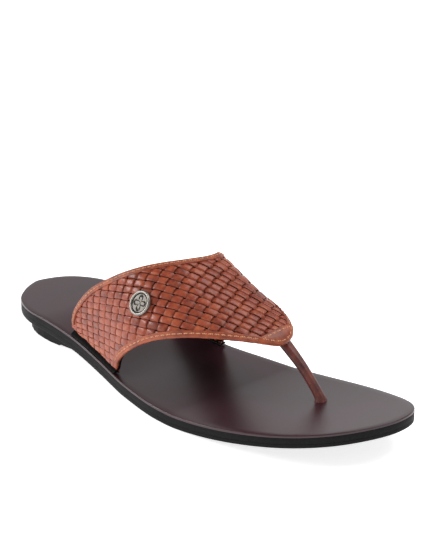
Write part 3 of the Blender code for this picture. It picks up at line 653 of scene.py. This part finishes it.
def unflatten(target):
    """The t and a at which the pattern has these flat positions, by Newton's method."""
    nodes = CUT.reshape(-1, 2)
    t = np.empty(len(target))
    a = np.empty(len(target))
    batch = 4000
    for start in range(0, len(target), batch):
        part = slice(start, start + batch)
        near = ((target[part, None] - nodes[None]) ** 2).sum(-1).argmin(axis=1)
        t[part] = CUT_T[near // len(CUT_A)]
        a[part] = CUT_A[near % len(CUT_A)]
    for _step in range(12):
        flat, by_i, by_j = on_cut(t, a)
        miss = target - flat
        det = by_i[:, 0] * by_j[:, 1] - by_i[:, 1] * by_j[:, 0]
        det = np.where(np.abs(det) < 1e-9, 1e-9, det)
        di = (miss[:, 0] * by_j[:, 1] - miss[:, 1] * by_j[:, 0]) / det
        dj = (by_i[:, 0] * miss[:, 1] - by_i[:, 1] * miss[:, 0]) / det
        t += np.clip(di, -1, 1) * (CUT_T[1] - CUT_T[0])
        a += np.clip(dj, -1, 1) * (CUT_A[1] - CUT_A[0])
        t, a = np.clip(t, -0.8, 1.8), np.clip(a, -1.3, 1.3)
    return t, a


# The weave: flat vectors from one strip to the next, and a crossing that sets its phase.
ALONG = np.array([6.45, 2.55]) * MM      # between neighbouring cross strips
ACROSS = np.array([-1.03, 3.92]) * MM    # between neighbouring long strips
START = np.array([-3.9, -47.6]) * MM     # a crossing with the long strip on top
LONG_W, CROSS_W = 0.86, 0.80             # widths of the strips, as shares of their spacing
STRIP_TURN = -0.009 * MM                 # how the weave turns towards the outer foot
STRIP_T = 0.0009
WAVE = 0.00058                           # how far a strip goes up and down
STEEP = 2.3                              # of that wave between two crossings
MID_LEVEL = -0.0009                      # of the weave, under the vamp's outer surface
STRIP_FOOT = (0.013, 0.007)              # share bare under the strips, at back and front
STRIP_ENDS = 0.005                       # how unevenly they are cut there
TUCK = 0.0018                            # how far an end goes in under the surface
CALM = 6.0                               # millimetres from an edge where strips lie flatter
LOW_WIDER, LOW_FLATTER = 0.09, 0.35      # hammered down towards the foot
FRINGE = 0.004                           # share of the way that stays clear of an edge
LAST = 0.995                             # share of the arch past which no strip reaches
PER_CELL = 12                            # points along a strip between two crossings


def bend(flat, m, n):
    """Turns the lattice towards the outer foot; m and n count strips both ways."""
    flat[..., 1] += STRIP_TURN * m * np.minimum(n, 0.0) ** 2
    return flat


def strip_family(name, long_way):
    """All strips of one direction, each a flat band bent over and under the others."""
    # Half a turn over the crowned top, from edge to edge, and back along the flat underside.
    profile_x = np.array([-1.0, -0.93, -0.75, -0.4, 0.0, 0.4, 0.75, 0.93, 1.0, 0.8, 0.0, -0.8])
    bulge = np.array([0.05, 0.36, 0.47, 0.52, 0.54, 0.52, 0.47, 0.36, 0.05, -0.4, -0.42, -0.4])
    step, other = (ALONG, ACROSS) if long_way else (ACROSS, ALONG)
    reach, strips = (14, 30) if long_way else (34, 16)
    # The second value is how strongly a painted shade darkens this family's strips where they
    # dive under the other family.
    width, dive_shade_share = (LONG_W, 0.2) if long_way else (CROSS_W, 0.85)
    verts, faces, tones, rims, dive_shades = [], [], [], [], []
    count = 0
    for index in range(-strips, strips + 1):
        run = np.arange(-reach * PER_CELL, reach * PER_CELL + 1) / PER_CELL
        m, n = (run, index) if long_way else (index, run)
        t, a = unflatten(bend(START + run[:, None] * step + index * other, m, n))
        keep = (t > -0.06) & (t < 1.06) & (np.abs(a) < LAST)
        if keep.sum() < PER_CELL:
            continue
        first, last = np.flatnonzero(keep)[[0, -1]]
        part = slice(max(0, first - 3), last + 4)
        low = ease((np.abs(a[part]) - 0.5) / 0.3)[:, None]
        run = run[part]
        rows, cols = len(run), len(profile_x)
        out = index + 0.5 * width * profile_x * (1.0 + LOW_WIDER * low)
        flat = START + run[:, None, None] * step + out[:, :, None] * other
        m, n = (run[:, None], out) if long_way else (out, run[:, None])
        t, a = (g.reshape(rows, cols) for g in unflatten(bend(flat, m, n).reshape(-1, 2)))
        # A strip's end is tucked in at the foot of the vamp, a little further on some.
        bare = (STRIP_FOOT[0] * (1 - t) + STRIP_FOOT[1] * t) * np.where(a > 0, 2.0, 1.0)
        past = np.abs(a) - (1.0 - bare - rng.uniform(0.0, STRIP_ENDS))
        t, a = np.clip(t, FRINGE, 1.0 - FRINGE), np.clip(a, -LAST, LAST)
        parity = np.cos(math.pi * (run + index)) * (1.0 if long_way else -1.0)
        level = (np.tanh(STEEP * parity) / math.tanh(STEEP))[:, None]
        to_edge = np.minimum(t, 1.0 - t) * (through(FRONT_EDGE, a) - through(BACK_EDGE, a))
        calm = ease(to_edge / CALM)
        lean = 0.18 * MM * rng.uniform(-1, 1) * np.cos(math.pi * run)[:, None] * profile_x
        rise = WAVE * (0.35 + 0.65 * calm) * (1.0 - LOW_FLATTER * low)
        height = (MID_LEVEL + rise * level + lean + STRIP_T * bulge - 0.0004 * (1 - calm)
                  - TUCK * ease((past + 0.008) / 0.010))
        outside = ((past > 0.004) | (np.abs(t - 0.5) > 0.4995 - FRINGE)).ravel()
        quads = grid_faces(rows, cols, closed=True)
        faces.append(quads[~outside[quads].all(axis=1)] + count)
        cells = rng.uniform(0, 1) * 0.5 + 0.5 * rng.uniform(0, 1, rows // PER_CELL + 2)
        verts.append(over(on_vamp(t, a), a, height).reshape(-1, 3))
        tones.append(np.repeat(cells[(run - run[0] + 0.5).astype(int)], cols))
        rims.append((np.abs(profile_x) ** 6 * (0.5 - 0.3 * low)).ravel())
        # A painted shade darkens the strips where they dive under a neighbour, less so down at
        # the foot.
        dive_shades.append((ease(0.40 - 0.9 * level) * dive_shade_share * (1.0 - 0.75 * low)
                      * np.ones(cols)).ravel())
        count += rows * cols
    outward(piece(name, np.concatenate(verts), np.concatenate(faces), "strips",
                  "vamp_woven_panel", "woven_leather", 60, tone=np.concatenate(tones),
                  rim=np.concatenate(rims), deep=np.concatenate(dive_shades)), shed=True)


strip_family("vamp_long_strips", True)
strip_family("vamp_cross_strips", False)

LINING_TOP = -(WOVEN_T + GAP)
LINING_LOW = LINING_TOP - LINING_T
# The flare shows the lining's black below the weave where the strap tucks under: real black
# lining, partly standing in as painted shade.
LINING_FLARE = 0.0032         # how far the lining turns out at its feet
FLARE = (0.984, 0.014)        # share where that starts, and over how much
LINING_PARED = 0.0013         # what is pared off its thickness under a folded edge
PARED_MM = 5.0                # and how far in


def vamp_lining(rows=150, cols=36):
    """Smooth black lining cloth under the weave, down to the footbed on both sides. Its
    near-black flared feet are partly real lining and partly painted shade where the strap
    tucks under.
    """
    a = np.sin(np.linspace(-math.pi / 2, math.pi / 2, rows))
    inset = np.full(rows, BINDING_T + GAP)
    back, back_a = (g[:, None] for g in from_edge(BACK_EDGE, a, inset))
    front, front_a = (g[:, None] for g in from_edge(FRONT_EDGE, a, inset))
    t = np.linspace(0.0, 1.0, cols)
    station, share = back * (1 - t) + front * t, back_a * (1 - t) + front_a * t
    rim_mm = np.minimum(t, 1 - t) * (front - back)
    pared = LINING_PARED * (1 - ease(rim_mm / PARED_MM)) * ease((0.93 - np.abs(share)) / 0.04)
    top = over(station, share, LINING_TOP + 0.5 * pared)
    low = over(station, share, LINING_LOW + pared)
    flare = LINING_FLARE * ease((np.abs(share) - FLARE[0]) / FLARE[1]) * np.sign(share)
    top[..., 1] += flare
    low[..., 1] += flare * 0.4
    outward(piece("vamp_lining_cloth", *sheet(top, low), "lining", "vamp_lining", "lining"))


vamp_lining()


# ---------------------------------------------------------------- folded edges
EDGE_W = 0.0036               # visible width of a folded edge
CHANNEL = 0.00020             # depth of the channel that its stitches lie in
CHANNEL_W = 0.00045
FOLD_T, INNER_T = 0.0012, 0.0006  # of the hide over the vamp and inside it
PATCH_UP = 0.0006             # top of the tip's patch over the folded edge under it


def skived(depth):
    """Height of a folded edge's top and underside: the layers are pared thin at the rim."""
    grow = ease(depth / EDGE_W)
    return -0.0002 + 0.0007 * grow, -0.0020 - 0.0022 * grow


def folded_edge(name, knots, band, node_name, rings=360):
    """Hide turned round an edge of the vamp, with a shallow channel for its stitches."""
    nose_top, nose_low = skived(0.0)
    middle, half = 0.5 * (nose_top + nose_low), 0.5 * (nose_top - nose_low)
    nose = half * 0.8         # how far the fold's round reaches in
    profile = []
    for b in np.linspace(-math.pi / 2, math.pi / 2, 9):
        profile.append((nose * (1 - math.cos(b)), middle + half * math.sin(b)))
    for d in np.linspace(nose + 0.0002, EDGE_W, 16):
        channel = CHANNEL * math.exp(-((d - STITCH_IN) / CHANNEL_W) ** 2)
        profile.append((d, skived(d)[0] - channel))
    # The cut end of the fold, its inner face there and back, and its face inside the vamp.
    profile.append((EDGE_W + 0.0003, skived(EDGE_W)[0] - 0.0004))
    profile.append((EDGE_W + 0.0003, skived(EDGE_W)[0] - 0.0009))
    for d in np.linspace(EDGE_W, FOLD_T, 8):
        profile.append((d, skived(d)[0] - FOLD_T))
    for d in np.linspace(FOLD_T, EDGE_W, 8):
        profile.append((d, skived(d)[1] + INNER_T))
    for d in np.linspace(EDGE_W, nose + 0.0002, 8):
        profile.append((d, skived(d)[1]))
    a = np.linspace(-(1.0 - band), 1.0 - band, rings)
    columns = []
    for depth, height in profile:
        s, b = from_edge(knots, a, np.full(rings, depth))
        columns.append(over(s, b, np.full(rings, height)))
    outward(piece(name, *swept(np.stack(columns, axis=1)), "edge", node_name,
                  "edge_leather", 50))


folded_edge("back_folded_edge", BACK_EDGE, BAND_BACK, "back_edge_binding")
folded_edge("front_folded_edge", FRONT_EDGE, BAND_FRONT, "front_edge_binding")


def patch_top(station, share):
    """Height of the patch's top, which follows the folded edge down to the rim."""
    depth = np.maximum(through(FRONT_EDGE, share) - station, 0.0) * MM
    return skived(depth)[0] + PATCH_UP


def patch_sheet(rows=48, cols=20):
    """Leather patch over the tip, its rim rounded down on to the weave."""
    a = np.linspace(*PATCH_SHARES, rows)
    front, front_a = from_edge(FRONT_EDGE, a, np.full(rows, 0.0004))
    t = np.linspace(0.0, 1.0, cols)
    start = PATCH_BACK - 1.6
    station = start + (front[:, None] - start) * t
    share = a[:, None] + (front_a - a)[:, None] * t
    i, j = np.meshgrid(np.linspace(-1, 1, rows), np.linspace(-1, 1, cols), indexing="ij")
    rim = np.maximum(np.abs(i) ** 14, np.abs(j) ** 12)
    top = over(station, share, patch_top(station, share) - 0.0005 * rim)
    low = over(station, share, patch_top(station, share) - 0.0011)
    outward(piece("tip_patch_leather", *sheet(top, low), "patch", "tip_patch",
                  "edge_leather", 50))


patch_sheet()


# ---------------------------------------------------------------- stitches
STITCH = 0.0034               # from one needle hole to the next
STITCH_R = 0.00042
STITCH_UP = 0.00022           # how far a stitch rises over the leather
STITCH_SUNK = 0.00030         # how far its ends go in


def stitches(name, path, node_name):
    """Separate stitches along a path of points, each rising from its needle holes."""
    run = lengths(path[:, 0])
    number = max(1, int(run[-1] / STITCH))
    bow = np.sin(np.linspace(0.0, math.pi, 9))[:, None]
    turn = np.linspace(0.0, 2 * math.pi, 8, endpoint=False)[:, None]
    verts, faces, count = [], [], 0
    for k in range(number):
        at = (k + np.linspace(0.10, 0.90, 9)) * run[-1] / number
        line, up = (np.stack([np.interp(at, run, path[:, part, c]) for c in range(3)], axis=1)
                    for part in (0, 1))
        up = unit(up)
        side = np.cross(unit(np.gradient(line, axis=0)), up)
        line = line + up * (bow ** 0.6 * STITCH_UP - STITCH_SUNK)
        around = side[:, None] * np.cos(turn) + up[:, None] * np.sin(turn)
        radius = STITCH_R * (0.45 + 0.55 * bow ** 0.5)
        points, quads = swept(line[:, None] + around * radius[:, None])
        verts.append(points)
        faces += [tuple(q + count for q in f) for f in quads]
        count += len(points)
    outward(piece(name, np.concatenate(verts), faces, "thread", node_name, "thread"))


def with_up(station, share, height):
    """Points on the leather, each with the way up from it."""
    low, high = over(station, share, height), over(station, share, height + MM)
    return np.stack([low, high - low], axis=1)


def seam_line(knots, lo, hi, height, count=220):
    """A stitch line in from an edge of the vamp, between two shares."""
    s, b = from_edge(knots, np.linspace(lo, hi, count), np.full(count, STITCH_IN))
    return with_up(s, b, np.full(count, height))


SEAM_Z = skived(STITCH_IN)[0]
SEAM_END = 1.0 - BAND_BACK - 0.006
stitches("back_edge_stitches", seam_line(BACK_EDGE, -SEAM_END, SEAM_END, SEAM_Z),
         "back_edge_seam")
stitches("front_edge_stitches_outer",
         seam_line(FRONT_EDGE, -SEAM_END, PATCH_SHARES[0] - 0.008, SEAM_Z),
         "front_edge_seam_lateral")
stitches("front_edge_stitches_inner",
         seam_line(FRONT_EDGE, PATCH_SHARES[1] + 0.008, SEAM_END - 0.03, SEAM_Z),
         "front_edge_seam_medial")

round_tip = seam_line(FRONT_EDGE, PATCH_SHARES[0] + 0.012, PATCH_SHARES[1] - 0.012,
                      SEAM_Z + PATCH_UP)
rear_a = np.linspace(PATCH_SHARES[1] - 0.02, PATCH_SHARES[0] + 0.018, 60)
rear = with_up(np.full(60, PATCH_BACK), rear_a, patch_top(PATCH_BACK, rear_a))
stitches("tip_patch_stitches", np.concatenate([round_tip, rear]), "tip_patch_seam")


# ---------------------------------------------------------------- toe post
def smooth_path(knots, steps=16):
    knots = np.array([knots[0], *knots, knots[-1]])
    t = np.linspace(0, 1, steps, endpoint=False)[:, None]
    parts = [between(*knots[i:i + 4], t) for i in range(len(knots) - 3)]
    return np.concatenate(parts + [knots[-1:]])


def ridge(turn, at, width):
    """A bump round a turn, as wide as it says on both sides of its place."""
    return np.exp(-((((turn - at + math.pi) % (2 * math.pi)) - math.pi) / width) ** 2)


def toe_post():
    """Strap of hide rolled round the cord: wider and flatter under the tip, with its
    lap as a ridge down the outside and puckers where it enters the footbed."""
    under_vamp = GAP + POST_R + BINDING_T + GAP - LINING_LOW
    foot_z = float(lift(POST_X)) + Z_TOP
    hole = np.array([POST_X * MM - X_MID, POST_Y * BALL_WIDTH - Y_MID, foot_z])
    start, turned = (over(PATCH_BACK + d, POST_SHARE, -under_vamp) for d in (-POST_BACK, -0.5))
    foot, end = hole + (0.0, 0.0, 0.0015), hole + (0.0, 0.0, -0.004)
    mid = turned * 0.5 + foot * 0.5 + (POST_BOW, 0.0, POST_BOW)
    path = smooth_path([start, turned, mid, foot * 0.84 + mid * 0.16, foot * 0.6 + end * 0.4,
                        end])
    run = np.linspace(0.0, 1.0, len(path))
    ahead = unit(np.gradient(path, axis=0))
    side = unit(np.cross(ahead, np.array([0.0, 1.0, 0.0])))
    up = np.cross(side, ahead)
    turn = np.linspace(0.0, 2 * math.pi, 48, endpoint=False)
    top = 1 - ease((run - 0.05) / 0.45)
    base = np.exp(-np.maximum(path[:, 2] - foot_z, 0.0) / 0.0016)
    lap, fold, pucker = ridge(turn, -0.4, 0.16), ridge(turn, 2.3, 0.35), np.sin(11 * turn)
    rings = []
    for k in range(len(path)):
        radius = POST_R * (1.0 + 0.10 * lap - 0.10 * fold + (0.30 + 0.05 * pucker) * base[k])
        deep, wide = radius * (1 - 0.08 * top[k]), radius * (1.0 + 0.75 * top[k])
        rings.append(path[k] + side[k] * (np.cos(turn) * deep)[:, None]
                     + up[k] * (np.sin(turn) * wide)[:, None])
    outward(piece("toe_post_wrap", *swept(rings), "post", "toe_post_cover", "post_leather",
                  60))


toe_post()

# ---------------------------------------------------------------- badge
# All as shares of the badge's radius, from its middle out.
FIELD, GROOVE_END = 0.70, 0.785
PETAL, STROKE, HEART = 0.58, 0.05, 0.10
# Its turned profile: share of the radius, height in millimetres over the vamp.
BADGE_PROFILE = ((0.0, 1.25), (FIELD, 1.25), (0.715, 1.0), (0.775, 1.0), (0.79, 1.6),
                 (0.84, 1.85), (0.90, 1.9), (0.96, 1.8), (1.0, 1.4))


def badge():
    """Round zinc stud: a bright rolled rim, a blackened groove, and the outline of a
    four-petal rosette cut into a greyed field."""
    station, share = BADGE_AT
    point = over(station, share, 0.0)
    up = unit(over(station, share, MM) - point)
    along = arch(station + 0.5, share) - arch(station - 0.5, share)
    along = unit(along - up * along.dot(up))
    across = np.cross(up, along)
    radii = np.concatenate([np.linspace(0.0, FIELD, 36), np.linspace(0.715, 1.0, 22),
                            [1.0, 1.0]])
    turn = np.linspace(0.0, 2 * math.pi, 120, endpoint=False)
    rim = np.interp(radii, *np.array(BADGE_PROFILE).T) * MM
    rim[-2:] = (0.8 * MM, 0.0)
    r, b = np.meshgrid(radii, turn, indexing="ij")
    petal = PETAL * np.abs(np.cos(2 * (b - 0.35))) ** 0.8
    stroke = np.clip(1.7 - np.abs(petal - r) / STROKE, 0, 1) * (r > HEART) * (r < 0.68)
    heart = ease((HEART - r) / 0.04)
    height = rim[:, None] + (0.30 * heart - 0.35 * stroke) * MM
    flat = np.stack([np.cos(b) * r, np.sin(b) * r], axis=-1) * BADGE_R
    points = (point + flat[..., 0:1] * along + flat[..., 1:2] * across
              + height[..., None] * up)
    groove = np.where((r > FIELD + 0.005) & (r < GROOVE_END), 1.0, 0.0)
    field = np.where(r < FIELD + 0.005, 0.60, 0.0)
    outward(piece("round_badge", points.reshape(-1, 3), grid_faces(*r.shape, closed=True),
                  "badge", "badge", "badge", 45,
                  hollow=np.maximum(np.maximum(groove, 0.95 * stroke), field)))


badge()

# ---------------------------------------------------------------- kept CAD nodes
for name, finish in (("heel_lift", "outsole"), ("footbed_pad", "foam"),
                     ("anchor_tab_lateral", "webbing"), ("anchor_tab_medial", "webbing"),
                     ("toe_post_cord", "cord"), ("toe_post_washer", "steel"),
                     ("badge_back_washer", "steel")):
    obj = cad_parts[name]
    obj.data.materials.clear()
    obj.data.materials.append(FINISHES[finish])

# ---------------------------------------------------------------- studio
LIT_TABLE = 0.75              # how far the table is lit from below, to soften the shadow


def floor():
    """Pale paper sweep on a lit table, faintly mottled."""
    mat, tree, shader, where = blank("white_paper_sweep")
    cloud = node(tree, "ShaderNodeTexNoise",
                 {"Vector": where, "Scale": per(250), "Detail": 2.0})
    node(tree, shader, {
        "Base Color": node(tree, "ShaderNodeValToRGB", {"Fac": cloud},
                           stops=((0.3, "#f6f6f6"), (0.7, "#fcfcfc"))),
        "Roughness": 0.9, "Emission Color": linear("#ffffff"),
        "Emission Strength": LIT_TABLE})
    mesh = bpy.data.meshes.new("floor")
    bm = bmesh.new()
    bmesh.ops.create_grid(bm, x_segments=2, y_segments=2, size=6.0)
    bm.to_mesh(mesh)
    bm.free()
    mesh.materials.append(mat)
    obj = bpy.data.objects.new("floor", mesh)
    bpy.context.scene.collection.objects.link(obj)


floor()


def softbox(name, place, size, watts):
    """A rectangular area light that faces the sandal."""
    lamp = bpy.data.lights.new(name, "AREA")
    lamp.shape = "RECTANGLE"
    lamp.size, lamp.size_y = size
    lamp.energy = watts
    obj = bpy.data.objects.new(name, lamp)
    obj.location = place
    aim = Vector((0.0, 0.0, 0.03)) - Vector(place)
    obj.rotation_euler = aim.to_track_quat("-Z", "Y").to_euler()
    bpy.context.scene.collection.objects.link(obj)


softbox("overhead_softbox", (0.35, 0.5, 1.5), (1.2, 1.2), 16)
softbox("low_strip_light", (-1.0, -0.95, 0.62), (0.7, 0.35), 9.0)

world = bpy.data.worlds.new("white_studio")
world.use_nodes = True
sky = world.node_tree
way = node(sky, "ShaderNodeTexCoord", out="Generated")
height = node(sky, "ShaderNodeSeparateXYZ", {0: way}, "Z")
# White walls up to eye level and a darker ceiling, so that the hide keeps its colour.
wall = node(sky, "ShaderNodeMapRange", {"Value": height, "From Min": 0.30, "From Max": 0.60,
                                        "To Min": 0.85, "To Max": 0.30})
node(sky, sky.nodes["Background"], {"Strength": wall, "Color": linear("#ffffff")})
bpy.context.scene.world = world
bpy.context.scene.view_settings.view_transform = "Standard"

# ---------------------------------------------------------------- camera
AZIMUTH, ELEVATION = math.radians(48.21), math.radians(20.45)
DISTANCE = 1.0
AIM = Vector((-0.1158, 0.1294, 0.0))
back = Vector((math.cos(ELEVATION) * math.sin(AZIMUTH),
               -math.cos(ELEVATION) * math.cos(AZIMUTH), math.sin(ELEVATION)))
lens = bpy.data.cameras.new("camera")
lens.lens = 95.87
lens.sensor_width = 36.0
lens.clip_start = 0.01
camera = bpy.data.objects.new("camera", lens)
camera.location = AIM + back * DISTANCE
camera.rotation_euler = back.to_track_quat("Z", "Y").to_euler()
bpy.context.scene.collection.objects.link(camera)
bpy.context.scene.camera = camera
